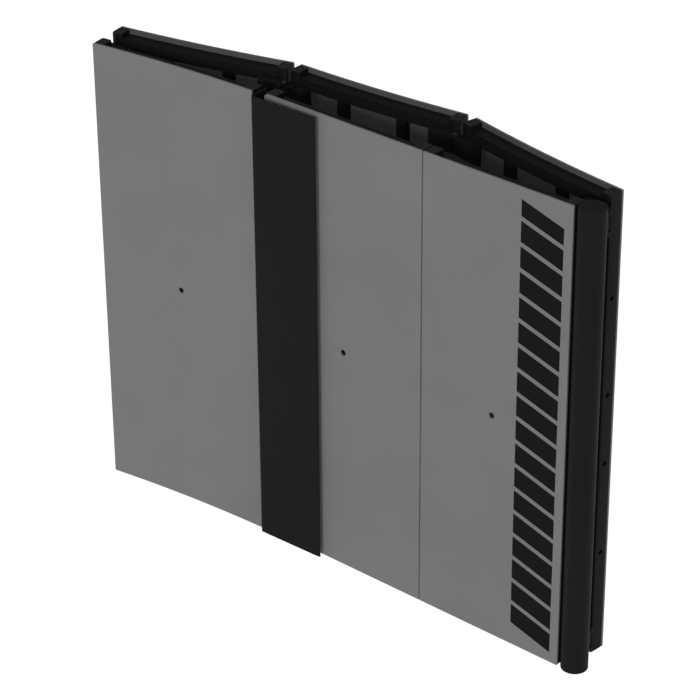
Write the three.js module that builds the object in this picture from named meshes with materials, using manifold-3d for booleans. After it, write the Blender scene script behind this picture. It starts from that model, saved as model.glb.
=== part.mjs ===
// A folding quarter pipe: a threshold plate, four curved riding panels, a deck with a steel coping and a
// back support, hinged in one chain. It is modelled folded up for storage, standing on its long side edge.
// Millimetres. X runs along the folded deck, Y is the depth of the folded pack and Z the riding width.
import * as THREE from "three";
import { mergeVertices } from "three/addons/utils/BufferGeometryUtils.js";
import Module from "manifold-3d";

const wasm = await Module();
wasm.setup();

// Sizes of the ramp
const width = 1219.2;
const transition_radius = 3900;
const panel_chord = 481;
const fit_gap = 0.3; // left between two pieces that touch
const cut_overrun = 5; // how far a cutter runs past what it cuts

// Angles of the folded chain, in degrees from the riding pose
const second_fold = 15.97;
const upper_fold = -21.25;
const lower_fold = 179.07;
const deck_fold = -145.35;

// Riding sheet: composite board with one drain hole in the middle
const sheet_thickness = 5;
const drain_radius = 5;

// Frame tubes behind the sheet
const frame_depth = 36.5;
const end_tube_width = 28.5;
const end_tube_inset = 2; // its closed ends stop short of the sheet's edge
const end_cap_thickness = 3;
const tube_wall = 1.6;
const tube_corner = 4;
const tube_end_chamfer = 0.8;
const vent_radius = 3;
const vent_inset = 110;
const rail_width = 28;
const rail_depth = 35.4;
const rail_inset = 13;
const rail_plug_radius = 8;
const rail_plug_place = 38; // beyond the end tube
const rib_width = 28;
const rib_depth = 22;
const rib_place_shares = [0.295, 0.65]; // of the panel's length
const end_face_hole_radius = 3.5;
const end_face_hole_shares = [0.23, 0.43, 0.58, 0.785]; // of the width

// Hinges between the panels: lug plates in pairs at both side edges, one pair nested inside the other
const hinge_depth = 61; // of the axis, below the riding face
const hinge_reach = 1; // of the axis, beyond the panel's end
const coping_hinge_reach = 8;
const lug_plate = 4;
const lug_play = 0.6; // between nested plates
const lug_radius = 9;
const lug_inset = 25;
const lug_height = 60; // of the outer pair, along the width
const bracket_length = 65;
const bracket_depth = 73;
const bracket_web = 3;
const bracket_web_back = 4.5; // a web stops this far short of the panel's end
const plate_shoulder = 23; // an open plate's back edge rises to its nose from here
const bolt_hole_radius = 3.5;
const bolt_hole_depth = 63;
const bolt_shares = [0.555, 0.845]; // of the bracket's length
const pin_radius = 5;
const pin_head_radius = 8;
const pin_head_height = 4;

// Deck, coping and back support
const coping_radius = 33;
const coping_wall = 3;
const coping_proud = 8; // above the deck
const coping_cap_thickness = 4;
const coping_cap_spigot = 15;
const deck_axis_reach = 38; // of the deck's hinge axis, beyond its coping edge
const deck_axis_depth = 72;
const arm_length = 150;
const gusset_length = 130;
const heel_height = 12; // of an arm, gusset or foot plate at its thin end
const saddle_end = 60; // degrees from the level, where the arm's saddle round the pipe ends
const gusset_bolt_shares = [0.446, 0.77]; // of the gusset's length
const gusset_bolt_drop = 8; // below the frame's back
const back_ground_gap = 1.5; // under the back support when the ramp is set up
const foot_plate_length = 125;
const foot_bolt_shares = [0.416, 0.864]; // of the foot plate's length

// Threshold plate and its hinge on the lowest panel
const threshold_length = 193;
const threshold_thickness = 3.5;
const threshold_inset = 3;
const threshold_edge = 7; // its ground edge is bent down over this length
const threshold_edge_drop = 2;
const threshold_height = 58.4; // of its riding face, above its hinge axis
const threshold_axis_reach = 7.5;
const threshold_axis_depth = 41;
const knuckle_radius = 7;
const knuckle_length = 80;
const knuckle_lug = 6;
const knuckle_play = 0.7;
const knuckle_end_inset = 30;
const knuckle_lug_root = 22; // depth at which a lug leaves the end tube's face
const threshold_bend = 6;
const rod_radius = 4;
const rod_inset = 12;
const leg_gap_to_support = 19.4; // between the threshold's leg and the back support's end

// How finely curves are cut
const arc_steps = 5;
const nose_steps = 6;
const hole_steps = 6;
const round_steps = 12;
const pipe_steps = 36;
const corner_steps = 2;

const degrees = Math.PI / 180;
const panel_turn = 2 * Math.asin(panel_chord / 2 / transition_radius);
const back_of_frame = sheet_thickness + frame_depth;
const back_of_sheet = sheet_thickness + fit_gap;
const root_depth = back_of_frame - tube_wall / 2; // brackets are let this far into the end tubes
const coping_centre = [coping_radius, coping_radius - coping_proud];

// Finishes
const board = new THREE.MeshStandardMaterial({ color: 0x747476, roughness: 0.75, metalness: 0 });
const black_steel = new THREE.MeshStandardMaterial({ color: 0x1f2322, roughness: 0.5, metalness: 0.3 });
const black_zinc = new THREE.MeshStandardMaterial({ color: 0x1b1c1e, roughness: 0.45, metalness: 0.6 });
const black_plastic = new THREE.MeshStandardMaterial({ color: 0x202322, roughness: 0.6, metalness: 0 });

// A closed geometry as a solid that can be joined and cut
function solid(geometry) {
  const bare = geometry.clone();
  bare.deleteAttribute("normal");
  bare.deleteAttribute("uv");
  const merged = mergeVertices(bare);
  return new wasm.Manifold(
    new wasm.Mesh({
      numProp: 3,
      vertProperties: merged.attributes.position.array,
      triVerts: new Uint32Array(merged.index.array),
    }),
  );
}

// A solid as a named mesh with flat faces
function named(name, shape, material) {
  const { vertProperties, triVerts } = shape.getMesh();
  const geometry = new THREE.BufferGeometry();
  geometry.setAttribute("position", new THREE.BufferAttribute(vertProperties, 3));
  geometry.setIndex(new THREE.BufferAttribute(triVerts, 1));
  const faceted = geometry.toNonIndexed();
  faceted.computeVertexNormals();
  const mesh = new THREE.Mesh(faceted, material);
  mesh.name = name;
  return mesh;
}

const join = (solids) => solids.reduce((all, next) => all.add(next));
const cut = (body, cutters) => cutters.reduce((left, cutter) => left.subtract(cutter), body);

// An outline run along the width, with its end edges chamfered where asked
function extrude(outline, [low, high], chamfer = 0) {
  const geometry = new THREE.ExtrudeGeometry(outline, {
    depth: high - low - 2 * chamfer,
    bevelEnabled: chamfer > 0,
    bevelThickness: chamfer,
    bevelSize: chamfer,
    bevelOffset: -chamfer,
    bevelSegments: 1,
    curveSegments: arc_steps,
  });
  return solid(geometry.translate(0, 0, low + chamfer));
}

// The riding face at a distance from the panel's lower end, and its slope there
function station(panel, along) {
  if (!panel.turn) return { x: along, y: 0, slope: 0, out: 1 };
  const slope = along / transition_radius - panel.turn / 2;
  return {
    x: transition_radius * Math.sin(slope),
    y: transition_radius * (Math.cos(panel.turn / 2) - Math.cos(slope)),
    slope,
    out: 1,
  };
}

const lowerEnd = (panel) => ({ ...station(panel, 0), out: -1 });
const upperEnd = (panel) => station(panel, panel.length);

// A point so far beyond a station and so far below the riding face, in the panel's frame
function at(place, beyond, deep) {
  const along = place.out * beyond;
  return new THREE.Vector2(
    place.x + along * Math.cos(place.slope) + deep * Math.sin(place.slope),
    place.y + along * Math.sin(place.slope) - deep * Math.cos(place.slope),
  );
}

// Points of an arc, as pairs of beyond and deep
function arc([beyond, deep], radius, from, to, steps = nose_steps) {
  return Array.from({ length: steps + 1 }, (_, i) => {
    const angle = (from + ((to - from) * i) / steps) * degrees;
    return [beyond + radius * Math.cos(angle), deep + radius * Math.sin(angle)];
  });
}

const circle = (centre, radius, steps = hole_steps) => arc(centre, radius, 0, 360, steps).slice(1);

function roundedBox(beyond, deep, corner) {
  const [left, right] = beyond;
  const [top, bottom] = deep;
  return [
    ...arc([right - corner, bottom - corner], corner, 0, 90, corner_steps),
    ...arc([left + corner, bottom - corner], corner, 90, 180, corner_steps),
    ...arc([left + corner, top + corner], corner, 180, 270, corner_steps),
    ...arc([right - corner, top + corner], corner, 270, 360, corner_steps),
  ];
}

// An outline given as pairs of beyond and deep at a station, with round holes
function outlineAt(place, points, holes = []) {
  const put = (pairs) => pairs.map(([beyond, deep]) => at(place, beyond, deep));
  const shape = new THREE.Shape(put(points));
  shape.holes = holes.map((hole) => new THREE.Path(put(hole)));
  return shape;
}

// A strip of the panel between two places along it and two depths, curved with the riding face
function band(panel, [from, to], [top, bottom]) {
  const shape = new THREE.Shape();
  if (!panel.turn) {
    shape.moveTo(from, -top);
    shape.lineTo(to, -top);
    shape.lineTo(to, -bottom);
    shape.lineTo(from, -bottom);
    shape.closePath();
    return shape;
  }
  const centre = transition_radius * Math.cos(panel.turn / 2);
  const down = -Math.PI / 2 - panel.turn / 2;
  const [start, end] = [down + from / transition_radius, down + to / transition_radius];
  shape.absarc(0, centre, transition_radius + top, start, end, false);
  shape.absarc(0, centre, transition_radius + bottom, end, start, true);
  shape.closePath();
  return shape;
}

// A layer of some thickness, an inset from the right or the left side edge
function layer(side, inset, thickness) {
  return side === "right" ? [width - inset - thickness, width - inset] : [inset, inset + thickness];
}
const sides = ["right", "left"];

// A round hole square to the riding face, or along it where it goes through an end face
function faceHole(place, beyond, deep, z, radius, length, along) {
  const centre = at(place, beyond, deep);
  const steps = along ? hole_steps : round_steps;
  const cylinder = new THREE.CylinderGeometry(radius, radius, length, steps);
  cylinder.rotateZ(place.slope + (along ? Math.PI / 2 : 0));
  return solid(cylinder.translate(centre.x, centre.y, z));
}

function sheet(panel) {
  const body = extrude(band(panel, [0, panel.length], [0, sheet_thickness]), [0, width]);
  const middle = station(panel, panel.length / 2);
  const drain = faceHole(middle, 0, 0, width / 2, drain_radius, 2 * sheet_thickness + cut_overrun, false);
  return named(`${panel.name}_sheet`, cut(body, [drain]), board);
}

// A box tube across the panel's end, closed by its caps, with vent holes in its inner face
function endTubeBody(end) {
  const deep = [back_of_sheet, back_of_frame];
  const outer = roundedBox([-end_tube_width, 0], deep, tube_corner);
  const wall_deep = [back_of_sheet + tube_wall, back_of_frame - tube_wall];
  const inner = roundedBox([tube_wall - end_tube_width, -tube_wall], wall_deep, tube_corner - tube_wall);
  const tube = [end_tube_inset, width - end_tube_inset];
  const hollow = [tube[0] + end_cap_thickness, tube[1] - end_cap_thickness];
  const middle_depth = (back_of_sheet + back_of_frame) / 2;
  const vents = [vent_inset, width - vent_inset].map((z) =>
    faceHole(end, -end_tube_width, middle_depth, z, vent_radius, 2 * tube_wall + cut_overrun, true),
  );
  return cut(extrude(outlineAt(end, outer), tube, tube_end_chamfer), [
    extrude(outlineAt(end, inner), hollow),
    ...vents,
  ]);
}

// The plate of a hinge bracket: its root is let into the frame's back and its nose turns round the axis
function lugOutline(end, axis, shoulder, bolt_places) {
  const points = [
    [-bracket_length, root_depth],
    [-bracket_length, bracket_depth],
    [-shoulder, bracket_depth],
    ...arc(axis, lug_radius, 100, -50),
    [-lug_plate, root_depth],
  ];
  const bolt_holes = bolt_places.map((place) => circle([-place, bolt_hole_depth], bolt_hole_radius));
  return outlineAt(end, points, [circle(axis, pin_radius + fit_gap, round_steps), ...bolt_holes]);
}

// A long gusset between the deck and the back support, thin at its heel
function gussetOutline(end, axis) {
  const points = [
    [-gusset_length, root_depth],
    [-gusset_length, back_of_frame + heel_height],
    [-plate_shoulder, bracket_depth],
    ...arc(axis, lug_radius, 100, -50),
    [-lug_plate, root_depth],
  ];
  const bolt_depth = back_of_frame + gusset_bolt_drop;
  const bolt_holes = gusset_bolt_shares.map((share) =>
    circle([-share * gusset_length, bolt_depth], bolt_hole_radius),
  );
  return outlineAt(end, points, [circle(axis, pin_radius + fit_gap, round_steps), ...bolt_holes]);
}

// The deck's arm: it runs under the coping, holds it in a saddle and ends at the hinge axis
function armOutline(end) {
  const axis = [deck_axis_reach, deck_axis_depth];
  const saddle_radius = coping_radius + fit_gap;
  const frame_angle = 180 - Math.asin((back_of_frame - coping_centre[1]) / saddle_radius) / degrees;
  const points = [
    [-arm_length, root_depth],
    [-arm_length, back_of_frame + heel_height],
    ...arc(axis, lug_radius, 100, -20),
    ...arc(coping_centre, saddle_radius, saddle_end, frame_angle, round_steps),
    [-lug_plate, root_depth],
  ];
  return outlineAt(end, points, [circle(axis, pin_radius + fit_gap, round_steps)]);
}

// The plate at the back support's free end, which stands next to the ground
function footOutline(end) {
  const heel_depth = back_of_frame + heel_height;
  const points = [
    [-foot_plate_length, root_depth],
    [-foot_plate_length + heel_height, heel_depth],
    [-heel_height, heel_depth],
    [-lug_plate, root_depth],
  ];
  const bolt_depth = back_of_frame + heel_height / 2;
  const bolt_holes = foot_bolt_shares.map((share) =>
    circle([-share * foot_plate_length, bolt_depth], bolt_hole_radius),
  );
  return outlineAt(end, points, bolt_holes);
}

// Where a bracket's plates lie across the width: the outer pair straddles the inner pair
const outer_pair = { inset: lug_inset, height: lug_height };
const inner_pair = {
  inset: lug_inset + lug_plate + lug_play,
  height: lug_height - 2 * (lug_plate + lug_play),
};

// The two plates of one bracket, from their outline
function platePair(outline, pair, side) {
  const far_inset = pair.inset + pair.height - lug_plate;
  return [pair.inset, far_inset].map((inset) => extrude(outline, layer(side, inset, lug_plate)));
}

// A strip that joins the two plates of a bracket
function bracketStrip(end, beyond, deep, pair, side) {
  const points = [
    [beyond[0], deep[0]],
    [beyond[1], deep[0]],
    [beyond[1], deep[1]],
    [beyond[0], deep[1]],
  ];
  return extrude(outlineAt(end, points), layer(side, pair.inset, pair.height));
}

// Brackets at both side edges: two plates joined by a strip along their root
function brackets(end, outline, length, pair) {
  const root = [root_depth, back_of_frame + lug_plate];
  return sides.flatMap((side) => [
    ...platePair(outline, pair, side),
    bracketStrip(end, [-length, -lug_plate], root, pair, side),
  ]);
}

// The webs that box in a pair of brackets where the neighbour leaves room behind them
function boxedWebs(end, pair) {
  const back = [-bracket_length, -bracket_web_back];
  const far_end = [-bracket_length, bracket_web - bracket_length];
  return sides.flatMap((side) => [
    bracketStrip(end, back, [bracket_depth - bracket_web, bracket_depth], pair, side),
    bracketStrip(end, far_end, [root_depth, bracket_depth], pair, side),
  ]);
}

const panelAxis = [hinge_reach, hinge_depth];
const copingAxis = [coping_hinge_reach, hinge_depth];
const panel_bolts = bolt_shares.map((share) => share * bracket_length);
const panelLug = (end) => lugOutline(end, panelAxis, bracket_web_back, panel_bolts);
const panelBrackets = (end, pair) => brackets(end, panelLug(end), bracket_length, pair);
const boxedBrackets = (end, pair) => [...panelBrackets(end, pair), ...boxedWebs(end, pair)];

function endTube(panel, end, label, additions, cutters = []) {
  const body = cut(join([endTubeBody(end), ...additions]), cutters);
  return named(`${panel.name}_${label}`, body, black_steel);
}

// A box rail along one side edge, curved with the sheet and open at its ends
function sideRail(panel, side) {
  const run = [end_tube_width + fit_gap, panel.length - end_tube_width - fit_gap];
  const depth = [back_of_sheet, sheet_thickness + rail_depth];
  const outer = extrude(band(panel, run, depth), layer(side, rail_inset, rail_width));
  const bore_run = [run[0] - cut_overrun, run[1] + cut_overrun];
  const bore_depth = [depth[0] + tube_wall, depth[1] - tube_wall];
  const bore_layer = layer(side, rail_inset + tube_wall, rail_width - 2 * tube_wall);
  const bore = extrude(band(panel, bore_run, bore_depth), bore_layer);
  const plug_place = station(panel, end_tube_width + rail_plug_place);
  const plug = circle([0, (depth[0] + depth[1]) / 2], rail_plug_radius);
  const plug_layer = layer(side, rail_inset - cut_overrun, cut_overrun + 2 * tube_wall);
  const body = cut(outer, [bore, extrude(outlineAt(plug_place, plug), plug_layer)]);
  return named(`${panel.name}_${side}_rail`, body, black_steel);
}

// A box rib across the panel between its two rails, open at its ends
function rib(panel, share, index) {
  const place = station(panel, share * panel.length);
  const half = rib_width / 2;
  const depth = [back_of_sheet, sheet_thickness + rib_depth];
  const outer = roundedBox([-half, half], depth, tube_corner);
  const bore_depth = [depth[0] + tube_wall, depth[1] - tube_wall];
  const bore = roundedBox([tube_wall - half, half - tube_wall], bore_depth, tube_corner - tube_wall);
  const inset = rail_inset + rail_width + fit_gap;
  const tube = extrude(outlineAt(place, outer), [inset, width - inset]);
  const way = extrude(outlineAt(place, bore), [inset - cut_overrun, width - inset + cut_overrun]);
  return named(`${panel.name}_rib_${index + 1}`, cut(tube, [way]), black_steel);
}

// The pieces that every panel has, round its own two end tubes
function panelGroup(panel, lower_tube, upper_tube) {
  const group = new THREE.Group();
  group.name = panel.name;
  group.add(sheet(panel), lower_tube, upper_tube);
  sides.forEach((side) => group.add(sideRail(panel, side)));
  rib_place_shares.forEach((share, index) => group.add(rib(panel, share, index)));
  return group;
}

// A hinge pin through the nested plates, with its head and its locking nut
function hingePin(name, place, axis, side) {
  const grip = lug_height + 2 * fit_gap;
  const reach = grip / 2;
  const top = reach + pin_head_height;
  const profile = [
    [0, -top],
    [pin_head_radius, -top],
    [pin_head_radius, -reach],
    [pin_radius, -reach],
    [pin_radius, reach],
    [pin_head_radius, reach],
    [pin_head_radius, top],
    [0, top],
  ].map(([radius, height]) => new THREE.Vector2(radius, height));
  const pin = new THREE.LatheGeometry(profile, round_steps).rotateX(Math.PI / 2);
  const centre = at(place, ...axis);
  const [low, high] = layer(side, lug_inset, lug_height);
  return named(name, solid(pin.translate(centre.x, centre.y, (low + high) / 2)), black_zinc);
}

function addPins(group, joint_name, place, axis) {
  sides.forEach((side) => group.add(hingePin(`${joint_name}_${side}_pin`, place, axis, side)));
}

// Joins a child group to its parent at one hinge axis, turned from the parent by an angle
function hinge(parent, parent_axis, child, child_axis, turn) {
  const offset = child_axis.clone().rotateAround(new THREE.Vector2(), turn);
  child.rotation.z = turn;
  child.position.set(parent_axis.x - offset.x, parent_axis.y - offset.y, 0);
  child.userData.hinge_axis = parent_axis;
  parent.add(child);
  parent.updateMatrixWorld(true);
}

const curve = { length: transition_radius * panel_turn, turn: panel_turn };
const curvedPanel = (name) => ({ name, ...curve });
const flatPanel = (name, length) => ({ name, length, turn: 0 });
const deck_axis = new THREE.Vector2(-deck_axis_reach, -deck_axis_depth);
const threshold_axis = at(lowerEnd(curve), threshold_axis_reach, threshold_axis_depth);

// Hinges the chain together, with every fold scaled by a share: 0 is set up for riding and 1 is folded
function chain({ lower, second, middle, upper, deck }, fold_share) {
  const folded = fold_share * degrees;
  const low = at(lowerEnd(curve), ...panelAxis);
  const high = at(upperEnd(curve), ...panelAxis);
  const coping = at(upperEnd(curve), ...copingAxis);
  const slope_at_deck = 3.5 * panel_turn; // of the upper panel's chord, when the deck is level
  const deck_to_middle = (upper_fold + deck_fold) * folded + panel_turn - slope_at_deck;
  middle.rotation.z = -Math.PI * fold_share - deck_to_middle; // keeps the deck square to the pack
  hinge(middle, low, second, high, second_fold * folded - panel_turn);
  hinge(second, low, lower, high, lower_fold * folded - panel_turn);
  hinge(middle, high, upper, low, upper_fold * folded + panel_turn);
  hinge(upper, coping, deck, deck_axis, deck_fold * folded - slope_at_deck);
}

// A point of one group's plane as seen in another group's
function across(from, point, to) {
  return to.worldToLocal(from.localToWorld(new THREE.Vector3(point.x, point.y, 0)));
}

function bareChain(fold_share) {
  const names = ["lower", "second", "middle", "upper", "deck"];
  const frames = Object.fromEntries(names.map((name) => [name, new THREE.Group()]));
  chain(frames, fold_share);
  return frames;
}

// The back support reaches from the deck's hinge to the ground when the ramp is set up
const ground_depth = threshold_axis_depth + knuckle_radius; // below the riding face at the lowest end
const set_up = bareChain(0);
const ground_level = across(set_up.lower, at(lowerEnd(curve), 0, ground_depth), set_up.deck).y;
const back_length = -ground_level - hinge_depth - back_ground_gap;

// The deck and the back support together end just short of the threshold's leg when it is folded
const packed = bareChain(1);
const leg_place = across(packed.lower, threshold_axis, packed.deck).x - knuckle_radius;
const deck_length = leg_place - leg_gap_to_support - back_length - 2 * hinge_reach;

// Where the knuckles of the threshold's hinge lie across the width
const knuckle_starts = [
  knuckle_end_inset,
  (width - knuckle_length) / 2,
  width - knuckle_end_inset - knuckle_length,
];

// The lugs of the lowest end tube that carry the hinge rod, one at each end of a knuckle
function knuckleLugs(end) {
  const axis = [threshold_axis_reach, threshold_axis_depth];
  const points = [
    [-tube_wall / 2, knuckle_lug_root],
    [-tube_wall / 2, back_of_frame - tube_wall],
    ...arc(axis, knuckle_radius - knuckle_play, 110, -70),
  ];
  const outline = outlineAt(end, points, [circle(axis, rod_radius + fit_gap, round_steps)]);
  return knuckle_starts.flatMap((start) => [
    extrude(outline, [start - knuckle_play - knuckle_lug, start - knuckle_play]),
    extrude(outline, lugRangeAfter(start)),
  ]);
}

function lugRangeAfter(start) {
  const low = start + knuckle_length + knuckle_play;
  return [low, low + knuckle_lug];
}

// The lowest panel: its lower tube carries the threshold's hinge
function lowerPanel() {
  const panel = curvedPanel("lower_panel");
  const [low, high] = [lowerEnd(panel), upperEnd(panel)];
  const group = panelGroup(
    panel,
    endTube(panel, low, "lower_tube", knuckleLugs(low)),
    endTube(panel, high, "upper_tube", panelBrackets(high, outer_pair)),
  );
  const rod = new THREE.CylinderGeometry(rod_radius, rod_radius, width - 2 * rod_inset, round_steps);
  rod.rotateX(Math.PI / 2).translate(threshold_axis.x, threshold_axis.y, width / 2);
  group.add(named("threshold_hinge_rod", solid(rod), black_zinc));
  return group;
}

// The second panel: the lowest one folds flat under it, so that bracket stays open at the back
function secondPanel() {
  const panel = curvedPanel("second_panel");
  const [low, high] = [lowerEnd(panel), upperEnd(panel)];
  const group = panelGroup(
    panel,
    endTube(panel, low, "lower_tube", panelBrackets(low, inner_pair)),
    endTube(panel, high, "upper_tube", boxedBrackets(high, outer_pair)),
  );
  addPins(group, "lower_hinge", low, panelAxis);
  return group;
}

function middlePanel() {
  const panel = curvedPanel("middle_panel");
  const [low, high] = [lowerEnd(panel), upperEnd(panel)];
  const group = panelGroup(
    panel,
    endTube(panel, low, "lower_tube", boxedBrackets(low, inner_pair)),
    endTube(panel, high, "upper_tube", boxedBrackets(high, outer_pair)),
  );
  addPins(group, "middle_hinge", low, panelAxis);
  addPins(group, "upper_hinge", high, panelAxis);
  return group;
}

// The upper panel: its upper tube meets the coping and has open holes in its end face
function upperPanel() {
  const panel = curvedPanel("upper_panel");
  const [low, high] = [lowerEnd(panel), upperEnd(panel)];
  const middle_depth = (back_of_sheet + back_of_frame) / 2;
  const holes = end_face_hole_shares.map((share) =>
    faceHole(high, 0, middle_depth, share * width, end_face_hole_radius, tube_wall + cut_overrun, true),
  );
  const lug = lugOutline(high, copingAxis, plate_shoulder, []);
  const plates = brackets(high, lug, bracket_length, outer_pair);
  const group = panelGroup(
    panel,
    endTube(panel, low, "lower_tube", boxedBrackets(low, inner_pair)),
    endTube(panel, high, "upper_tube", plates, holes),
  );
  addPins(group, "coping_hinge", high, copingAxis);
  return group;
}

// The coping: a steel pipe along the deck's edge, closed by a plug at each end
function coping(group, end) {
  const centre = at(end, ...coping_centre);
  const bore_radius = coping_radius - coping_wall;
  const lathe = (points) => new THREE.LatheGeometry(points.map(([r, h]) => new THREE.Vector2(r, h)), pipe_steps);
  const put = (geometry) => solid(geometry.rotateX(Math.PI / 2).translate(centre.x, centre.y, 0));
  const [low, high] = [coping_cap_thickness + fit_gap, width - coping_cap_thickness - fit_gap];
  const wall = [[bore_radius, low], [coping_radius, low], [coping_radius, high], [bore_radius, high]];
  group.add(named("coping_pipe", put(lathe([...wall, wall[0]])), black_steel));
  const plug_radius = bore_radius - fit_gap;
  const reach = coping_cap_thickness + coping_cap_spigot;
  const base_plug = [
    [0, 0],
    [coping_radius, 0],
    [coping_radius, coping_cap_thickness],
    [plug_radius, coping_cap_thickness],
    [plug_radius, reach],
    [0, reach],
  ];
  const top_plug = base_plug.map(([radius, height]) => [radius, width - height]).reverse();
  group.add(named("coping_left_plug", put(lathe(base_plug)), black_plastic));
  group.add(named("coping_right_plug", put(lathe(top_plug)), black_plastic));
}

function deckGroup() {
  const panel = flatPanel("deck", deck_length);
  const [low, high] = [lowerEnd(panel), upperEnd(panel)];
  const gussets = brackets(high, gussetOutline(high, panelAxis), gusset_length, outer_pair);
  const group = panelGroup(
    panel,
    endTube(panel, low, "coping_tube", brackets(low, armOutline(low), arm_length, inner_pair)),
    endTube(panel, high, "back_tube", gussets),
  );
  coping(group, low);
  addPins(group, "back_hinge", high, panelAxis);
  return group;
}

function backSupport() {
  const panel = flatPanel("back_support", back_length);
  const [low, high] = [lowerEnd(panel), upperEnd(panel)];
  const gussets = brackets(low, gussetOutline(low, panelAxis), gusset_length, inner_pair);
  const feet = brackets(high, footOutline(high), foot_plate_length, outer_pair);
  return panelGroup(
    panel,
    endTube(panel, low, "deck_tube", gussets),
    endTube(panel, high, "foot_tube", feet),
  );
}

// The threshold: a folded steel plate whose leg ends in knuckles, round the origin of its own frame
function thresholdGroup() {
  const own = { x: 0, y: 0, slope: 0, out: -1 };
  const top = -threshold_height;
  const [leg_in, leg_out] = [knuckle_radius - threshold_thickness, knuckle_radius];
  const tip = leg_in + threshold_length;
  const bend_centre = [leg_in + threshold_bend, top + threshold_bend];
  const profile = [
    [leg_in, 0],
    ...arc(bend_centre, threshold_bend, 180, 270, arc_steps),
    [tip - threshold_edge, top],
    [tip, top + threshold_edge_drop],
    [tip, top + threshold_edge_drop + threshold_thickness / 2],
    [tip - threshold_edge, top + threshold_thickness],
    ...arc(bend_centre, threshold_bend - threshold_thickness, 270, 180, arc_steps),
    [leg_out, 0],
  ];
  const plate = extrude(outlineAt(own, profile), [threshold_inset, width - threshold_inset]);
  const barrel = outlineAt(own, circle([0, 0], knuckle_radius, round_steps));
  const barrels = knuckle_starts.map((start) => extrude(barrel, [start, start + knuckle_length]));
  const notch = outlineAt(own, circle([0, 0], knuckle_radius + 2 * knuckle_play, round_steps));
  const notches = knuckle_starts.flatMap((start) => [
    extrude(notch, [start - 2 * knuckle_play - knuckle_lug, start]),
    extrude(notch, [start + knuckle_length, start + knuckle_length + knuckle_lug + 2 * knuckle_play]),
  ]);
  const rod_way = extrude(outlineAt(own, circle([0, 0], rod_radius + fit_gap, round_steps)), [0, width]);
  const group = new THREE.Group();
  const body = cut(join([cut(plate, notches), ...barrels]), [rod_way]);
  group.add(named("threshold_plate", body, black_steel));
  return group;
}

// The whole ramp, folded, with the middle of the pack's footprint as its origin
const ramp = new THREE.Group();
const panels = {
  lower: lowerPanel(),
  second: secondPanel(),
  middle: middlePanel(),
  upper: upperPanel(),
  deck: deckGroup(),
};
chain(panels, 1);
hinge(panels.lower, threshold_axis, thresholdGroup(), new THREE.Vector2(), -panel_turn / 2);
const back_axis = at(upperEnd(flatPanel("deck", deck_length)), ...panelAxis);
const support_axis = at(lowerEnd(flatPanel("back_support", back_length)), ...panelAxis);
hinge(panels.deck, back_axis, backSupport(), support_axis, 0);
ramp.add(panels.middle);
const size = new THREE.Box3().setFromObject(ramp, true);
const middle_of_pack = size.getCenter(new THREE.Vector3());
ramp.position.set(-middle_of_pack.x, -middle_of_pack.y, -size.min.z);

export default ramp;
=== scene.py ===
import math

import bmesh
import bpy
from mathutils import Matrix, Vector


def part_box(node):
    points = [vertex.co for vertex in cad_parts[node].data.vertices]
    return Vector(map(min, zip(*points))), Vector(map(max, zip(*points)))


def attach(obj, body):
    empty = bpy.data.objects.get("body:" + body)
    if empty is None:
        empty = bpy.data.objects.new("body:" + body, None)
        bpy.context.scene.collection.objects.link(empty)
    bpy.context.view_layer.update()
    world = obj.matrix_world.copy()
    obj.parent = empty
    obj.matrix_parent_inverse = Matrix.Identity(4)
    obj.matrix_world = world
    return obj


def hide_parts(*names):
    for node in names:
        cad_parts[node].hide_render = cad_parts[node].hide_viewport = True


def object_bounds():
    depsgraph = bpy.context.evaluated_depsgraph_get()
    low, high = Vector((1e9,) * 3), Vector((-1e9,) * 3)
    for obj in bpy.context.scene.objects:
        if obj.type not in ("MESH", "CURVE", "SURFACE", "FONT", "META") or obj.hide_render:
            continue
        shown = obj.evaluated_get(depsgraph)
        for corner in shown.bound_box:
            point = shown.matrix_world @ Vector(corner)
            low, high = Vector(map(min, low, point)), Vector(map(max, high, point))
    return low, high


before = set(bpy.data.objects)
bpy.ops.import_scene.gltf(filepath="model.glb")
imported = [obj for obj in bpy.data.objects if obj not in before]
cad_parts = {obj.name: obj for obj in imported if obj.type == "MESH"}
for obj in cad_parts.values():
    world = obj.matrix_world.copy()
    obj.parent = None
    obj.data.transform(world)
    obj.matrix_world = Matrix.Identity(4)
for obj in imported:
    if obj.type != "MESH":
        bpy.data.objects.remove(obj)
cad_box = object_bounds()

# The riding boards. Each of the six panels carries one sheet of dense grey composite board, 5 mm
# thick, with rounded corners, eased edges, a drain hole in the middle and a darker back. The four
# sheets of the curve are bent to it; the deck's and the back support's are flat.
panel_names = ("lower_panel", "second_panel", "middle_panel", "upper_panel", "deck", "back_support")
ramp_width = 1.2192
board_thickness = 0.005
board_edge_ease = 0.0007
board_corner_radius = 0.0025
support_corner_radius = 0.010
corner_steps = 5
drain_radius = 0.0072
drain_depth = 0.03
drill_sides = 28
close = 0.0001  # what lies nearer than a tenth of a millimetre counts as touching


def select_only(piece):
    """Makes one object the only selected and the active one."""
    bpy.ops.object.select_all(action="DESELECT")
    bpy.context.view_layer.objects.active = piece
    piece.select_set(True)


def start_from_solid(node, name, weld_distance=0.00001, flat_within=0.4):
    """A copy of a CAD solid to work on, its triangles joined where flat within some degrees."""
    piece = bpy.data.objects.new(name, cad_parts[node].data.copy())
    bpy.context.scene.collection.objects.link(piece)
    select_only(piece)
    bpy.ops.mesh.customdata_custom_splitnormals_clear()
    bpy.ops.object.mode_set(mode="EDIT")
    bpy.ops.mesh.select_all(action="SELECT")
    bpy.ops.mesh.remove_doubles(threshold=weld_distance)
    bpy.ops.mesh.dissolve_limited(angle_limit=math.radians(flat_within))
    bpy.ops.mesh.select_all(action="DESELECT")
    bpy.ops.object.mode_set(mode="OBJECT")
    return piece


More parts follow.
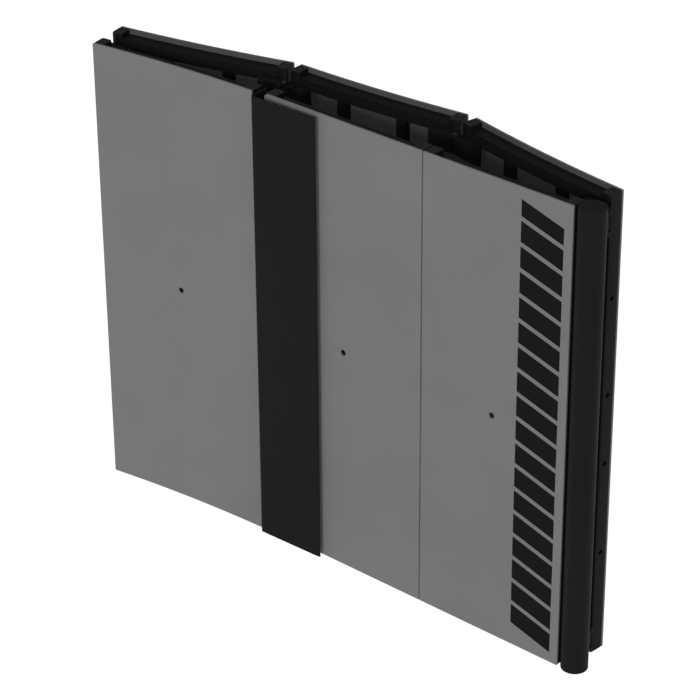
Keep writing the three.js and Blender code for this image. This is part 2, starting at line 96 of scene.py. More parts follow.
def start_cylinder(name, sides, radius, depth, centre=(0, 0, 0), ends="NGON"):
    """An upright cylinder, added by itself at its size and place, as the start of a piece."""
    bpy.ops.object.select_all(action="DESELECT")
    bpy.ops.mesh.primitive_cylinder_add(
        vertices=sides, radius=radius, depth=depth, end_fill_type=ends, location=centre
    )
    piece = bpy.context.active_object
    piece.name = name
    bpy.ops.object.transform_apply(location=True, rotation=True, scale=True)
    return piece


def middle_of(points):
    """The mean of some points."""
    return sum(points, Vector()) / len(points)


def drill_round(piece, *holes):
    """Drills round holes through a piece, each given by its centre, way, radius and depth."""
    drills = []
    for centre, way, radius, depth in holes:
        drill = start_cylinder("drill", drill_sides, radius, depth)
        drill.rotation_mode = "QUATERNION"
        drill.rotation_quaternion = way.to_track_quat("Z", "Y")
        drill.location = centre
        bpy.ops.object.transform_apply(location=True, rotation=True, scale=True)
        drills.append(drill)
    for drill in drills:
        drill.select_set(True)
    bpy.ops.object.join()
    drill = bpy.context.active_object
    select_only(piece)
    bore = piece.modifiers.new("round_holes", "BOOLEAN")
    bore.object = drill
    bore.operation = "DIFFERENCE"
    bore.solver = "EXACT"
    bpy.ops.object.modifier_apply(modifier=bore.name)
    bpy.data.objects.remove(drill)


def round_board_corners(piece, radius, along_x=None):
    """Rounds a sheet's corners: the short edges through its thickness at both side edges."""
    select_only(piece)
    bpy.ops.object.mode_set(mode="EDIT")
    bpy.ops.mesh.select_all(action="DESELECT")
    mesh = bmesh.from_edit_mesh(piece.data)
    for edge in mesh.edges:
        start, end = (vert.co for vert in edge.verts)
        level = abs(start.z - end.z) < close
        through = abs((start - end).length - board_thickness) < 0.4 * board_thickness
        at_side = min(start.z, ramp_width - start.z) < close
        at_end = along_x is None or abs(start.x - along_x) < 4 * board_thickness
        if level and through and at_side and at_end:
            edge.select_set(True)
    bmesh.update_edit_mesh(piece.data)
    bpy.ops.mesh.bevel(offset=radius, segments=corner_steps, affect="EDGES")
    bpy.ops.object.mode_set(mode="OBJECT")


def ease_edges(piece, size, sharper_than):
    """Rounds the edges sharper than an angle in degrees, and shades the rest smooth."""
    select_only(piece)
    bevel = piece.modifiers.new("eased_edges", "BEVEL")
    bevel.width = size
    bevel.segments = 2
    bevel.limit_method = "ANGLE"
    bevel.angle_limit = math.radians(sharper_than)
    bpy.ops.object.modifier_apply(modifier=bevel.name)
    bpy.ops.object.shade_smooth_by_angle(angle=math.radians(sharper_than))
    weighted = piece.modifiers.new("flat_faces", "WEIGHTED_NORMAL")
    weighted.keep_sharp = True
    bpy.ops.object.modifier_apply(modifier=weighted.name)


def finish_piece(piece, material, body, slot, *nodes):
    """Gives a piece its material and its body, and hides the CAD nodes it stands for; slot is not
    used.
    """
    piece.data.materials.clear()
    piece.data.materials.append(material)
    if nodes:
        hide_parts(*nodes)
    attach(piece, body)


def new_node_group(name, inputs, outputs):
    """An empty shader node group with float sockets; each input has a name and a first value."""
    group = bpy.data.node_groups.new(name, "ShaderNodeTree")
    for socket, value in inputs.items():
        made = group.interface.new_socket(socket, in_out="INPUT", socket_type="NodeSocketFloat")
        made.default_value = value
    for socket in outputs:
        group.interface.new_socket(socket, in_out="OUTPUT", socket_type="NodeSocketFloat")
    return group


def add_node(tree, kind, **settings):
    """A node of a kind, with its settings and the values of its inputs by name or number."""
    node = tree.nodes.new(kind)
    values = settings.pop("values", {})
    for setting, value in settings.items():
        setattr(node, setting, value)
    for socket, value in values.items():
        node.inputs[socket].default_value = value
    return node


# Fine grain: the small speckle and the wide cloudiness of a moulded or sprayed surface
fine_grain = new_node_group(
    "fine_grain",
    {"Grain Scale": 900.0, "Cloud Scale": 6.0, "Grain Share": 0.5},
    ["Value", "Height"],
)
inside = add_node(fine_grain, "NodeGroupInput")
place = add_node(fine_grain, "ShaderNodeTexCoord")
grain = add_node(fine_grain, "ShaderNodeTexNoise", values={"Detail": 3.0, "Roughness": 0.6})
cloud = add_node(fine_grain, "ShaderNodeTexNoise", values={"Detail": 4.0, "Roughness": 0.55})
mixed = add_node(fine_grain, "ShaderNodeMix", data_type="FLOAT")
outside = add_node(fine_grain, "NodeGroupOutput")
fine_grain.links.new(place.outputs["Object"], grain.inputs["Vector"])
fine_grain.links.new(place.outputs["Object"], cloud.inputs["Vector"])
fine_grain.links.new(inside.outputs["Grain Scale"], grain.inputs["Scale"])
fine_grain.links.new(inside.outputs["Cloud Scale"], cloud.inputs["Scale"])
fine_grain.links.new(inside.outputs["Grain Share"], mixed.inputs["Factor"])
fine_grain.links.new(cloud.outputs["Fac"], mixed.inputs["A"])
fine_grain.links.new(grain.outputs["Fac"], mixed.inputs["B"])
fine_grain.links.new(mixed.outputs["Result"], outside.inputs["Value"])
fine_grain.links.new(grain.outputs["Fac"], outside.inputs["Height"])

# Scuffs: faint marks, long in the directions in which their scale is low
scuff_marks = new_node_group(
    "scuff_marks",
    {"Along X": 1.5, "Along Y": 1.5, "Along Z": 60.0, "Least": 0.62, "Most": 0.75},
    ["Mask"],
)
inside = add_node(scuff_marks, "NodeGroupInput")
place = add_node(scuff_marks, "ShaderNodeTexCoord")
stretch = add_node(scuff_marks, "ShaderNodeCombineXYZ")
stretched = add_node(scuff_marks, "ShaderNodeVectorMath", operation="MULTIPLY")
marks = add_node(
    scuff_marks, "ShaderNodeTexNoise", values={"Scale": 1.0, "Detail": 6.0, "Roughness": 0.7}
)
span = add_node(scuff_marks, "ShaderNodeMapRange")
outside = add_node(scuff_marks, "NodeGroupOutput")
for axis in "XYZ":
    scuff_marks.links.new(inside.outputs[f"Along {axis}"], stretch.inputs[axis])
scuff_marks.links.new(place.outputs["Object"], stretched.inputs[0])
scuff_marks.links.new(stretch.outputs["Vector"], stretched.inputs[1])
scuff_marks.links.new(stretched.outputs["Vector"], marks.inputs["Vector"])
scuff_marks.links.new(marks.outputs["Fac"], span.inputs["Value"])
scuff_marks.links.new(inside.outputs["Least"], span.inputs["From Min"])
scuff_marks.links.new(inside.outputs["Most"], span.inputs["From Max"])
scuff_marks.links.new(span.outputs["Result"], outside.inputs["Mask"])


def masked_span(tree, value, low, high):
    """1 where a value lies between two others, 0 outside, as the product of two comparisons."""
    above = add_node(tree, "ShaderNodeMath", operation="GREATER_THAN")
    below = add_node(tree, "ShaderNodeMath", operation="LESS_THAN")
    both = add_node(tree, "ShaderNodeMath", operation="MULTIPLY")
    tree.links.new(value, above.inputs[0])
    tree.links.new(low, above.inputs[1])
    tree.links.new(value, below.inputs[0])
    tree.links.new(high, below.inputs[1])
    tree.links.new(above.outputs[0], both.inputs[0])
    tree.links.new(below.outputs[0], both.inputs[1])
    return both.outputs[0]


# Printed bars: slanted blocks in one upright band, placed in Object coordinates in metres
printed_bars = new_node_group(
    "printed_bars",
    {
        "From X": 0.0,
        "To X": 0.1,
        "First Bar": 0.0,
        "Last Bar": 1.0,
        "Pitch": 0.1,
        "Slant": 0.5,
        "Bar Share": 0.6,
    },
    ["Mask"],
)
inside = add_node(printed_bars, "NodeGroupInput")
place = add_node(printed_bars, "ShaderNodeTexCoord")
parted = add_node(printed_bars, "ShaderNodeSeparateXYZ")
lean = add_node(printed_bars, "ShaderNodeMath", operation="MULTIPLY_ADD")
shift = add_node(printed_bars, "ShaderNodeMath", operation="SUBTRACT")
turns = add_node(printed_bars, "ShaderNodeMath", operation="DIVIDE")
phase = add_node(printed_bars, "ShaderNodeMath", operation="FRACT")
in_bar = add_node(printed_bars, "ShaderNodeMath", operation="LESS_THAN")
in_band = add_node(printed_bars, "ShaderNodeMath", operation="MULTIPLY")
mask = add_node(printed_bars, "ShaderNodeMath", operation="MULTIPLY")
outside = add_node(printed_bars, "NodeGroupOutput")
printed_bars.links.new(place.outputs["Object"], parted.inputs["Vector"])
printed_bars.links.new(parted.outputs["X"], lean.inputs[0])
printed_bars.links.new(inside.outputs["Slant"], lean.inputs[1])
printed_bars.links.new(parted.outputs["Z"], lean.inputs[2])
printed_bars.links.new(lean.outputs[0], shift.inputs[0])
printed_bars.links.new(inside.outputs["First Bar"], shift.inputs[1])
printed_bars.links.new(shift.outputs[0], turns.inputs[0])
printed_bars.links.new(inside.outputs["Pitch"], turns.inputs[1])
printed_bars.links.new(turns.outputs[0], phase.inputs[0])
printed_bars.links.new(phase.outputs[0], in_bar.inputs[0])
printed_bars.links.new(inside.outputs["Bar Share"], in_bar.inputs[1])
across = masked_span(
    printed_bars, parted.outputs["X"], inside.outputs["From X"], inside.outputs["To X"]
)
along = masked_span(
    printed_bars, lean.outputs[0], inside.outputs["First Bar"], inside.outputs["Last Bar"]
)
printed_bars.links.new(across, in_band.inputs[0])
printed_bars.links.new(along, in_band.inputs[1])
printed_bars.links.new(in_band.outputs[0], mask.inputs[0])
printed_bars.links.new(in_bar.outputs[0], mask.inputs[1])
printed_bars.links.new(mask.outputs[0], outside.inputs["Mask"])


def start_material(name, specular):
    """A new material with a constant specular level, given with its node tree and its shader."""
    material = bpy.data.materials.new(name)
    material.use_nodes = True
    surface = material.node_tree.nodes["Principled BSDF"]
    surface.inputs["Specular IOR Level"].default_value = specular
    return material, material.node_tree, surface


def place_group(tree, group, **values):
    """A node group placed in a material with its own values, given with _ for spaces."""
    node = add_node(tree, "ShaderNodeGroup", node_tree=group)
    for socket, value in values.items():
        node.inputs[socket.replace("_", " ")].default_value = value
    return node


def cloudy_colour(tree, texture, dark, light, dark_below=0.3, light_above=0.7):
    """A colour that runs from dark to light with the value of a texture."""
    ramp = add_node(tree, "ShaderNodeValToRGB")
    dark_stop, light_stop = ramp.color_ramp.elements
    dark_stop.position, light_stop.position = dark_below, light_above
    dark_stop.color, light_stop.color = (*dark, 1), (*light, 1)
    tree.links.new(texture.outputs["Value"], ramp.inputs["Fac"])
    return ramp.outputs["Color"]


def marked_colour(tree, colour, mask, marks, strength=None):
    """A colour with marks of another one over it where a mask says, at a strength up to 1."""
    marked = add_node(tree, "ShaderNodeMix", data_type="RGBA", blend_type="MIX")
    marked.inputs["B"].default_value = (*marks, 1)
    if strength is not None:
        share = add_node(tree, "ShaderNodeMath", operation="MULTIPLY", values={1: strength})
        tree.links.new(mask, share.inputs[0])
        mask = share.outputs[0]
    tree.links.new(mask, marked.inputs["Factor"])
    tree.links.new(colour, marked.inputs["A"])
    return marked.outputs["Result"]


def set_gloss(tree, surface, pattern, low, high):
    """Lets the roughness follow a pattern between two values."""
    gloss = add_node(tree, "ShaderNodeMapRange", values={"To Min": low, "To Max": high})
    tree.links.new(pattern, gloss.inputs["Value"])
    tree.links.new(gloss.outputs["Result"], surface.inputs["Roughness"])


def set_relief(tree, surface, texture, strength, depth):
    """Gives the surface a fine bump from the height of a texture."""
    bump = add_node(tree, "ShaderNodeBump", values={"Strength": strength, "Distance": depth})
    tree.links.new(texture.outputs["Height"], bump.inputs["Height"])
    tree.links.new(bump.outputs["Normal"], surface.inputs["Normal"])


def composite_board(name, tone=1.0, bars=None):
    """Dense grey composite board: a matt speckle, faint clouding and scuffs along the ride."""
    dark, light, scuffed = ((grey * tone,) * 3 for grey in (0.151, 0.175, 0.124))
    ink = (0.0015, 0.0015, 0.0016)
    material, tree, surface = start_material(name, specular=0.15)
    texture = place_group(
        tree, fine_grain, Grain_Scale=700.0, Cloud_Scale=5.0, Grain_Share=0.45
    )
    scuffs = place_group(
        tree, scuff_marks, Along_X=2.0, Along_Y=2.0, Along_Z=90.0, Least=0.58, Most=0.8
    )
    colour = cloudy_colour(tree, texture, dark, light)
    colour = marked_colour(tree, colour, scuffs.outputs["Mask"], scuffed, strength=0.22)
    if bars:
        print_mask = place_group(tree, printed_bars, **bars)
        colour = marked_colour(tree, colour, print_mask.outputs["Mask"], ink)
    tree.links.new(colour, surface.inputs["Base Color"])
    set_gloss(tree, surface, texture.outputs["Value"], 0.52, 0.7)
    set_relief(tree, surface, texture, strength=0.12, depth=0.0003)
    return material


# The deck is printed with a band of slanted black bars beside the coping
deck_bars = {
    "From_X": 0.541,
    "To_X": 0.658,
    "First_Bar": 0.225,
    "Last_Bar": 1.353,
    "Pitch": 0.0639,
    "Slant": 0.30,
    "Bar_Share": 0.82,
}
board_material = composite_board("riding_board")
# The darker colour of the boards' back, also painted on the drain holes' walls as shade
back_and_hole_shade_material = composite_board("riding_board_back_and_hole_shade", tone=0.39)
printed_material = composite_board("riding_board_printed", bars=deck_bars)

for panel in panel_names:
    board = start_from_solid(f"{panel}_sheet", f"{panel}_board")
    low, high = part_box(f"{panel}_sheet")
    hole_rim = [
        vert.co
        for vert in board.data.vertices
        if abs(vert.co.z - ramp_width / 2) < 2 * drain_radius
    ]
    broad_side = max(board.data.polygons, key=lambda side: side.area)
    drain_way = broad_side.normal.copy()
    drill_round(board, (middle_of(hole_rim), drain_way, drain_radius, drain_depth))
    if panel == "back_support":
        round_board_corners(board, support_corner_radius, along_x=low.x)
    else:
        round_board_corners(board, board_corner_radius)
    ease_edges(board, board_edge_ease, sharper_than=40)
    paint = printed_material if panel == "deck" else board_material
    finish_piece(board, paint, panel, "riding_board", f"{panel}_sheet")
    # The back is darker than the riding side, which looks along
    # +Y on three panels and along -Y on the others. The wall of the drain hole gets the same dark
    # colour as painted shade inside the hole.
    board.data.materials.append(back_and_hole_shade_material)
    riding_side = 1 if panel in ("second_panel", "middle_panel", "upper_panel") else -1
    for side in board.data.polygons:
        looks_back = side.normal.y * riding_side < -0.5
        near_hole = (side.center - (low + high) / 2).length < 4 * drain_radius
        in_hole = near_hole and side.area < drain_radius ** 2
        # The hole's wall takes the dark back colour as painted shade
        if looks_back or in_hole:
            side.material_index = 1

# The frames behind the boards: welded steel box tube under a satin black powder coat. Every panel
# has two end tubes with their hinge plates welded on, two side rails and two ribs. Their edges
# are slightly rounded, and the bolt holes through the hinge plates are drilled round.
end_tubes = {panel: ("lower_tube", "upper_tube") for panel in panel_names[:4]}
end_tubes["deck"] = ("coping_tube", "back_tube")
end_tubes["back_support"] = ("deck_tube", "foot_tube")
frame_edge_ease = 0.0006
bolt_hole_side = 0.0035  # the holes are hexagons in the solids
bolt_hole_radius = 0.0042
bolt_drill_margin = 0.001
# The tube beside the coping has four more holes through its end face, at these shares of the
# width. Their place is the face's middle in X and Y, and their way is square to the face.
end_hole_shares = (0.23, 0.43, 0.58, 0.785)
end_hole_place = (0.7153, 0.0273)
end_hole_way = Vector((0.9938, -0.1109, 0.0))
end_hole_radius = 0.0060
end_hole_depth = 0.02


def powder_coat(name, dark, light, roughness):
    """Satin black powder coat: a slight orange peel, cloudy gloss, and dust in faint marks."""
    dust = (0.022, 0.023, 0.0225)
    material, tree, surface = start_material(name, specular=0.12)
    texture = place_group(
        tree, fine_grain, Grain_Scale=420.0, Cloud_Scale=9.0, Grain_Share=0.3
    )
    dusty = place_group(
        tree, scuff_marks, Along_X=9.0, Along_Y=9.0, Along_Z=22.0, Least=0.6, Most=0.82
    )
    colour = cloudy_colour(tree, texture, dark, light)
    colour = marked_colour(tree, colour, dusty.outputs["Mask"], dust, strength=0.12)
    tree.links.new(colour, surface.inputs["Base Color"])
    set_gloss(tree, surface, texture.outputs["Value"], roughness - 0.05, roughness + 0.07)
    set_relief(tree, surface, texture, strength=0.10, depth=0.0004)
    return material


coat_material = powder_coat(
    "black_powder_coat", (0.0045, 0.0054, 0.0050), (0.0055, 0.0067, 0.0062), roughness=0.5
)


def is_hole_wall(side):
    """Whether a face is a wall of a hexagonal hole: upright, and as wide as the hexagon's side."""
    upright = abs(side.normal.z) < 0.01
    level = [edge for edge in side.edges if abs(edge.verts[0].co.z - edge.verts[1].co.z) < close]
    as_wide = any(abs(edge.calc_length() - bolt_hole_side) < close / 2 for edge in level)
    return upright and as_wide and len(side.verts) == 4


def bolt_holes_of(piece):
    """The round holes to drill over the hexagonal holes through a piece's plates."""
    mesh = bmesh.new()
    mesh.from_mesh(piece.data)
    walls = [side for side in mesh.faces if is_hole_wall(side)]
    holes, seen = [], set()
    for wall in walls:
        ring, waiting = [], [wall]
        while waiting:
            side = waiting.pop()
            if side in walls and side not in seen:
                seen.add(side)
                ring.append(side)
                waiting += [near for edge in side.edges for near in edge.link_faces]
        if len(ring) == 6:
            corners = [vert.co.copy() for side in ring for vert in side.verts]
            heights = [corner.z for corner in corners]
            depth = max(heights) - min(heights) + bolt_drill_margin
            holes.append((middle_of(corners), Vector((0, 0, 1)), bolt_hole_radius, depth))
    mesh.free()
    return holes


for panel in panel_names:
    for part in (*end_tubes[panel], "right_rail", "left_rail", "rib_1", "rib_2"):
        tube = start_from_solid(f"{panel}_{part}", f"{panel}_{part}_coated")
        holes = bolt_holes_of(tube) if part in end_tubes[panel] else []
        if (panel, part) == ("upper_panel", "upper_tube"):
            for share in end_hole_shares:
                centre = Vector((*end_hole_place, share * ramp_width))
                holes.append((centre, end_hole_way, end_hole_radius, end_hole_depth))
        if holes:
            drill_round(tube, *holes)
        ease_edges(tube, frame_edge_ease, sharper_than=35)
        finish_piece(tube, coat_material, panel, "black_steel", f"{panel}_{part}")

# The end tubes' caps: thin moulded inserts with a chamfered rim, pressed into both ends of every
# end tube. They stand a little proud of the steel and are slightly lighter than its coat.
cap_height = 0.0015
cap_rim = 0.0022
cap_edge_ease = 0.0004
cap_material = powder_coat(
    "black_moulded_plastic", (0.0136, 0.0143, 0.0141), (0.0166, 0.0173, 0.0171), roughness=0.6
)


def select_level_faces(piece, height):
    """Selects the faces of a piece in edit mode that lie level at a height, and only these."""
    bpy.ops.mesh.select_mode(type="FACE")
    bpy.ops.mesh.select_all(action="DESELECT")
    mesh = bmesh.from_edit_mesh(piece.data)
    for side in mesh.faces:
        level = abs(side.normal.z) > 0.9
        at_height = abs(side.calc_center_median().z - height) < close / 10
        if level and at_height:
            side.select_set(True)
    bmesh.update_edit_mesh(piece.data)


def lift_selected(rise):
    """Moves what is selected in edit mode straight up, or down where the rise is negative."""
    bpy.ops.transform.translate(value=(0, 0, rise))


def extrude_selected(rise):
    """Extrudes the selected faces straight up, or down where the rise is negative."""
    bpy.ops.mesh.extrude_region_move(TRANSFORM_OT_translate={"value": (0, 0, rise)})


for panel in panel_names:
    for part in end_tubes[panel]:
        low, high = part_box(f"{panel}_{part}")
        for end, outward, face in (("right", 1, high.z), ("left", -1, low.z)):
            cap = start_from_solid(f"{panel}_{part}", f"{panel}_{part}_{end}_cap")
            bpy.ops.object.mode_set(mode="EDIT")
            select_level_faces(cap, face)
            bpy.ops.mesh.select_all(action="INVERT")
            bpy.ops.mesh.delete(type="FACE")
            bpy.ops.mesh.select_all(action="SELECT")
            extrude_selected(outward * cap_height)
            bpy.ops.mesh.inset(thickness=cap_rim)
            lift_selected(-outward * cap_height / 4)
            bpy.ops.mesh.select_all(action="SELECT")
            bpy.ops.mesh.normals_make_consistent(inside=False)
            bpy.ops.object.mode_set(mode="OBJECT")
            ease_edges(cap, cap_edge_ease, sharper_than=50)
            finish_piece(cap, cap_material, panel, "black_plastic")

# The rails' plugs: a round moulded plug with a low dome snaps into the hole in each rail's outer
# face, 38 mm beyond the panel's lower end tube. Its flange covers the hole.
rail_hole_side = 0.008  # the holes are hexagons in the solids
plug_sides = 32
plug_flange_radius = 0.0095
plug_flange_height = 0.0010
plug_flange_rim = 0.0018
plug_dome_height = 0.0012
plug_dome_rings = ((0.0016, 0.6), (0.0026, 0.4))  # each ring's width and its share of the height
plug_edge_ease = 0.0003
plug_material = powder_coat(
    "black_plug_plastic", (0.0072, 0.0079, 0.0077), (0.0088, 0.0096, 0.0094), roughness=0.6
)


def hole_centre(node, face):
    """The middle of the hole in a rail's outer face, from the edges round it."""
    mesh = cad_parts[node].data
    rim = []
    for edge in mesh.edges:
        start, end = (mesh.vertices[index].co for index in edge.vertices)
        on_face = max(abs(start.z - face), abs(end.z - face)) < close / 10
        if on_face and abs((start - end).length - rail_hole_side) < 3 * close:
            rim.append((start + end) / 2)
    return middle_of(rim)


def place_copy(model, name, centre, outward):
    """Puts a copy of a piece from the origin in its place, turned over if its outside is below."""
    piece = bpy.data.objects.new(name, model.data.copy())
    bpy.context.scene.collection.objects.link(piece)
    select_only(piece)
    piece.rotation_euler.x = 0 if outward > 0 else math.pi
    piece.location = centre
    bpy.ops.object.transform_apply(location=True, rotation=True, scale=True)
    return piece


flange_centre = (0, 0, plug_flange_height / 2)
rail_plug = start_cylinder(
    "rail_plug", plug_sides, plug_flange_radius, plug_flange_height, flange_centre
)
bpy.ops.object.mode_set(mode="EDIT")
select_level_faces(rail_plug, plug_flange_height)
bpy.ops.mesh.inset(thickness=plug_flange_rim)
for ring_width, height_share in plug_dome_rings:
    bpy.ops.mesh.inset(thickness=ring_width)
    lift_selected(height_share * plug_dome_height)
bpy.ops.object.mode_set(mode="OBJECT")
ease_edges(rail_plug, plug_edge_ease, sharper_than=40)
for panel in panel_names:
    for end, outward in (("right", 1), ("left", -1)):
        rail = f"{panel}_{end}_rail"
        low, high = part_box(rail)
        centre = hole_centre(rail, high.z if outward > 0 else low.z)
        plug = place_copy(rail_plug, f"{rail}_plug", centre, outward)
        finish_piece(plug, plug_material, panel, "black_plastic")
bpy.data.objects.remove(rail_plug)

# The threshold plate: 3.5 mm steel, folded along its leg and bent down at the ground edge, with
# three rolled knuckles that turn on one long rod. It is coated like the frames.
threshold = start_from_solid("threshold_plate", "threshold_plate_coated")
ease_edges(threshold, frame_edge_ease, sharper_than=35)
finish_piece(threshold, coat_material, "threshold", "black_steel", "threshold_plate")

# The coping: a 66 mm steel pipe with a 3 mm wall, coated like the frames and held in the saddles
# of the deck's arms. A flat black plastic plug closes each end, with a fine groove round its rim.
coping_sides = 96
coping_radius = 0.033
coping_wall = 0.003
coping_edge_ease = 0.0005
coping_low, coping_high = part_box("coping_pipe")
coping_centre = (coping_low + coping_high) / 2
coping_length = coping_high.z - coping_low.z

pipe = start_cylinder(
    "coping_pipe_coated", coping_sides, coping_radius, coping_length, coping_centre, "NOTHING"
)
wall = pipe.modifiers.new("wall", "SOLIDIFY")
wall.thickness = coping_wall
wall.offset = -1
bpy.ops.object.modifier_apply(modifier=wall.name)
ease_edges(pipe, coping_edge_ease, sharper_than=50)
finish_piece(pipe, coat_material, "deck", "black_steel", "coping_pipe")

coping_flange = 0.004
coping_rim = 0.0030
coping_groove = 0.0006
coping_spigot = 0.015
spigot_clearance = 0.0003
flange_centre = (0, 0, -coping_flange / 2)
coping_plug = start_cylinder(
    "coping_plug", coping_sides, coping_radius, coping_flange, flange_centre
)
bpy.ops.object.mode_set(mode="EDIT")
select_level_faces(coping_plug, 0)
bpy.ops.mesh.inset(thickness=coping_rim)
bpy.ops.mesh.inset(thickness=coping_groove)
lift_selected(-coping_groove)
bpy.ops.mesh.inset(thickness=coping_groove)
lift_selected(coping_groove)
select_level_faces(coping_plug, -coping_flange)
bpy.ops.mesh.inset(thickness=coping_wall + spigot_clearance)
extrude_selected(-coping_spigot)
bpy.ops.object.mode_set(mode="OBJECT")
ease_edges(coping_plug, coping_edge_ease, sharper_than=50)
for end, outward in (("left", -1), ("right", 1)):
    low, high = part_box(f"coping_{end}_plug")
    centre = (coping_centre.x, coping_centre.y, high.z if outward > 0 else low.z)
    plug = place_copy(coping_plug, f"coping_{end}_cap", centre, outward)
    finish_piece(plug, plug_material, "deck", "black_plastic", f"coping_{end}_plug")
bpy.data.objects.remove(coping_plug)

# The hinge bolts: black zinc-plated button screws through the nested hinge plates, each with a
# locking nut. The head is outermost, with a hexagon socket, and the shank shows between plates.
bolt_sides = 24
nut_sides = 6
bolt_radius = 0.005
head_radius = 0.008
head_height = 0.004
head_crown_share = 0.62
socket_radius = 0.0032
socket_depth = 0.0022
nut_rim = 0.0022
nut_dish = 0.0006
bolt_edge_ease = 0.0003
hinge_bodies = {
    "lower_hinge": "second_panel",
    "middle_hinge": "middle_panel",
    "upper_hinge": "middle_panel",
    "coping_hinge": "upper_panel",
    "back_hinge": "deck",
}


def black_zinc(name):
    """Black zinc plating: dark and a little cloudy, with turning marks that show in the gloss."""
    material, tree, surface = start_material(name, specular=0.1)
    surface.inputs["Metallic"].default_value = 0.2
    texture = place_group(
        tree, fine_grain, Grain_Scale=1500.0, Cloud_Scale=120.0, Grain_Share=0.4
    )
    marks = place_group(
        tree, scuff_marks, Along_X=40.0, Along_Y=40.0, Along_Z=900.0, Least=0.5, Most=0.75
    )
    dark, light = (0.008, 0.0084, 0.009), (0.015, 0.0156, 0.0165)
    colour = cloudy_colour(tree, texture, dark, light, dark_below=0.0, light_above=1.0)
    tree.links.new(colour, surface.inputs["Base Color"])
    set_gloss(tree, surface, marks.outputs["Mask"], 0.45, 0.6)
    set_relief(tree, surface, texture, strength=0.08, depth=0.0002)
    return material


zinc_material = black_zinc("black_zinc")

# One bolt is modelled upright at the origin, from a shank, a head and a nut; all ten are as long
low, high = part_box("lower_hinge_right_pin")
reach = (high.z - low.z) / 2
head_centre = Vector((0, 0, reach - head_height / 2))
bolt = start_cylinder("hinge_bolt", bolt_sides, bolt_radius, 2 * (reach - head_height))
head = start_cylinder("bolt_head", bolt_sides, head_radius, head_height, head_centre)
bpy.ops.object.mode_set(mode="EDIT")
select_level_faces(head, reach)
bpy.ops.transform.resize(value=(head_crown_share, head_crown_share, 1))
bpy.ops.mesh.inset(thickness=head_radius * head_crown_share - socket_radius)
extrude_selected(-socket_depth)
bpy.ops.object.mode_set(mode="OBJECT")
nut = start_cylinder("bolt_nut", nut_sides, head_radius, head_height, -head_centre)
bpy.ops.object.mode_set(mode="EDIT")
select_level_faces(nut, -reach)
bpy.ops.mesh.inset(thickness=nut_rim)
extrude_selected(nut_dish)
bpy.ops.object.mode_set(mode="OBJECT")
select_only(bolt)
head.select_set(True)
nut.select_set(True)
bpy.ops.object.join()
ease_edges(bolt, bolt_edge_ease, sharper_than=40)
for hinge, body in hinge_bodies.items():
    for side, outward in (("right", 1), ("left", -1)):
        low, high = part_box(f"{hinge}_{side}_pin")
        screw = place_copy(bolt, f"{hinge}_{side}_bolt", (low + high) / 2, outward)
        finish_piece(screw, zinc_material, body, "black_zinc", f"{hinge}_{side}_pin")
bpy.data.objects.remove(bolt)

# The threshold's hinge rod: one long rod of black zinc-plated steel, slid through the knuckles of
# the threshold plate and of the lower panel. Its ends are rounded.
rod_edge_ease = 0.0008
rod = start_from_solid("threshold_hinge_rod", "threshold_rod")
ease_edges(rod, rod_edge_ease, sharper_than=50)
finish_piece(rod, zinc_material, "lower_panel", "black_zinc", "threshold_hinge_rod")

# The studio: a pale floor that runs out to a white surround and keeps the ramp's soft shadow.
# Both are white to the camera alone, and light the ramp only a little.
floor_size = 60.0
floor_gap = 0.0005
floor_white = (0.9, 0.9, 0.9, 1)
floor_glow = {"Color": (1, 1, 1, 1), "Strength": 1.12}
floor_glow_share = 0.86  # the rest is the lit floor, with the ramp's shadow on it


def studio_white(name):
    """Plain white floor that shows to the camera as nearly white, with the shadow left in."""
    material, tree, surface = start_material(name, specular=0.0)
    surface.inputs["Base Color"].default_value = floor_white
    surface.inputs["Roughness"].default_value = 0.9
    glow = add_node(tree, "ShaderNodeEmission", values=floor_glow)
    seen = add_node(tree, "ShaderNodeLightPath")
    share = add_node(tree, "ShaderNodeMath", operation="MULTIPLY", values={1: floor_glow_share})
    blend = add_node(tree, "ShaderNodeMixShader")
    tree.links.new(seen.outputs["Is Camera Ray"], share.inputs[0])
    tree.links.new(share.outputs[0], blend.inputs["Fac"])
    tree.links.new(surface.outputs["BSDF"], blend.inputs[1])
    tree.links.new(glow.outputs["Emission"], blend.inputs[2])
    tree.links.new(blend.outputs["Shader"], tree.nodes["Material Output"].inputs["Surface"])
    return material


bpy.ops.object.select_all(action="DESELECT")
bpy.ops.mesh.primitive_plane_add(size=floor_size, location=(0, 0, cad_box[0].z - floor_gap))
floor = bpy.context.active_object
floor.name = "studio_floor"
floor.data.materials.append(studio_white("studio_floor_white"))

world = bpy.data.worlds.new("studio_world")
bpy.context.scene.world = world
world.use_nodes = True
surround = world.node_tree
background = surround.nodes["Background"]
background.inputs["Color"].default_value = (1, 1, 1, 1)
seen = add_node(surround, "ShaderNodeLightPath")
level = add_node(surround, "ShaderNodeMapRange", values={"To Min": 0.2, "To Max": 1.0})
surround.links.new(seen.outputs["Is Camera Ray"], level.inputs["Value"])
surround.links.new(level.outputs["Result"], background.inputs["Strength"])

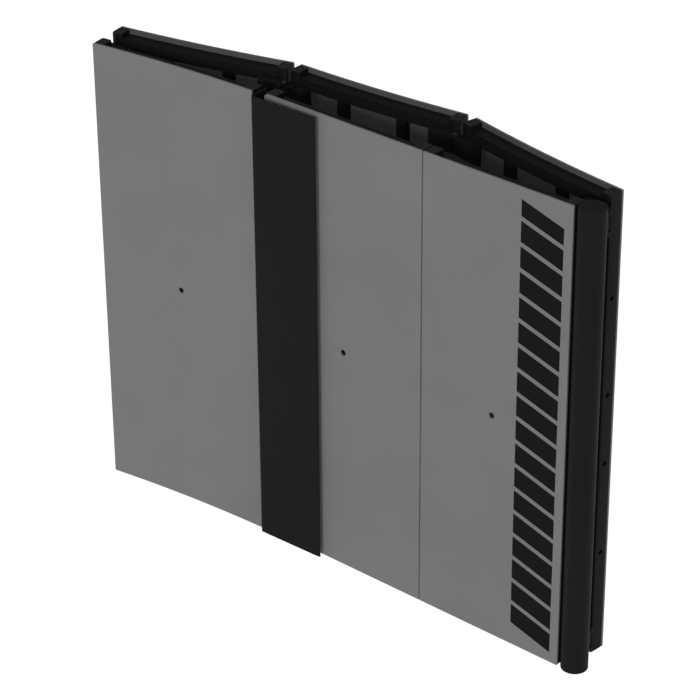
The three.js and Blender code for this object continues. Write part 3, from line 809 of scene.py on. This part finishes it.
# Four suns: a soft key from the front, a weak one from the right, one from behind for the other
# views, and a fill without shadows for the inside of the pack. Azimuths are in degrees from the
# front, -Y, towards +X.
sun_distance = 5.0
for name, strength, spread, azimuth, height in (
    ("front_light", 1.60, 14.0, 18.0, 18.0),
    ("side_light", 0.3, 40.0, 85.0, 10.0),
    ("back_light", 1.5, 30.0, 205.0, 8.0),
    ("fill_light", 0.97, 5.0, 30.0, 45.0),
):
    turn, lift = math.radians(azimuth), math.radians(height)
    towards = Vector(
        (math.sin(turn) * math.cos(lift), -math.cos(turn) * math.cos(lift), math.sin(lift))
    )
    bpy.ops.object.light_add(type="SUN", location=sun_distance * towards)
    lamp = bpy.context.active_object
    lamp.name = name
    lamp.data.energy = strength
    lamp.data.angle = math.radians(spread)
    lamp.data.use_shadow = name != "fill_light"
    lamp.visible_glossy = name != "back_light"
    lamp.rotation_mode = "QUATERNION"
    lamp.rotation_quaternion = (-towards).to_track_quat("-Z", "Y")

# The camera: a long lens, thirty degrees above the ramp, from the front right. Angles are in
# degrees: the pitch below the horizon, the yaw from +Y towards +X, and the roll about the view.
camera_place = Vector((3.9178, -4.5952, 4.0524))
camera_pitch, camera_yaw, camera_roll = 29.951, -40.653, -0.353
camera_lens_px = 2881.95
frame_px = 700

bpy.ops.object.camera_add(location=camera_place)
camera = bpy.context.active_object
camera.data.sensor_width = 36.0
camera.data.lens = camera.data.sensor_width * camera_lens_px / frame_px
camera.data.clip_end = 100.0
pitch, yaw, roll = (math.radians(angle) for angle in (camera_pitch, camera_yaw, camera_roll))
forward = Vector(
    (math.sin(yaw) * math.cos(pitch), math.cos(yaw) * math.cos(pitch), -math.sin(pitch))
)
right = Vector((math.cos(yaw), -math.sin(yaw), 0))
up = right.cross(forward)
turned_right = math.cos(roll) * right + math.sin(roll) * up
turned_up = math.cos(roll) * up - math.sin(roll) * right
camera_turn = Matrix((turned_right, turned_up, -forward)).transposed()
camera.rotation_mode = "QUATERNION"
camera.rotation_quaternion = camera_turn.to_quaternion()
bpy.context.scene.camera = camera
bpy.context.scene.view_settings.view_transform = "Standard"
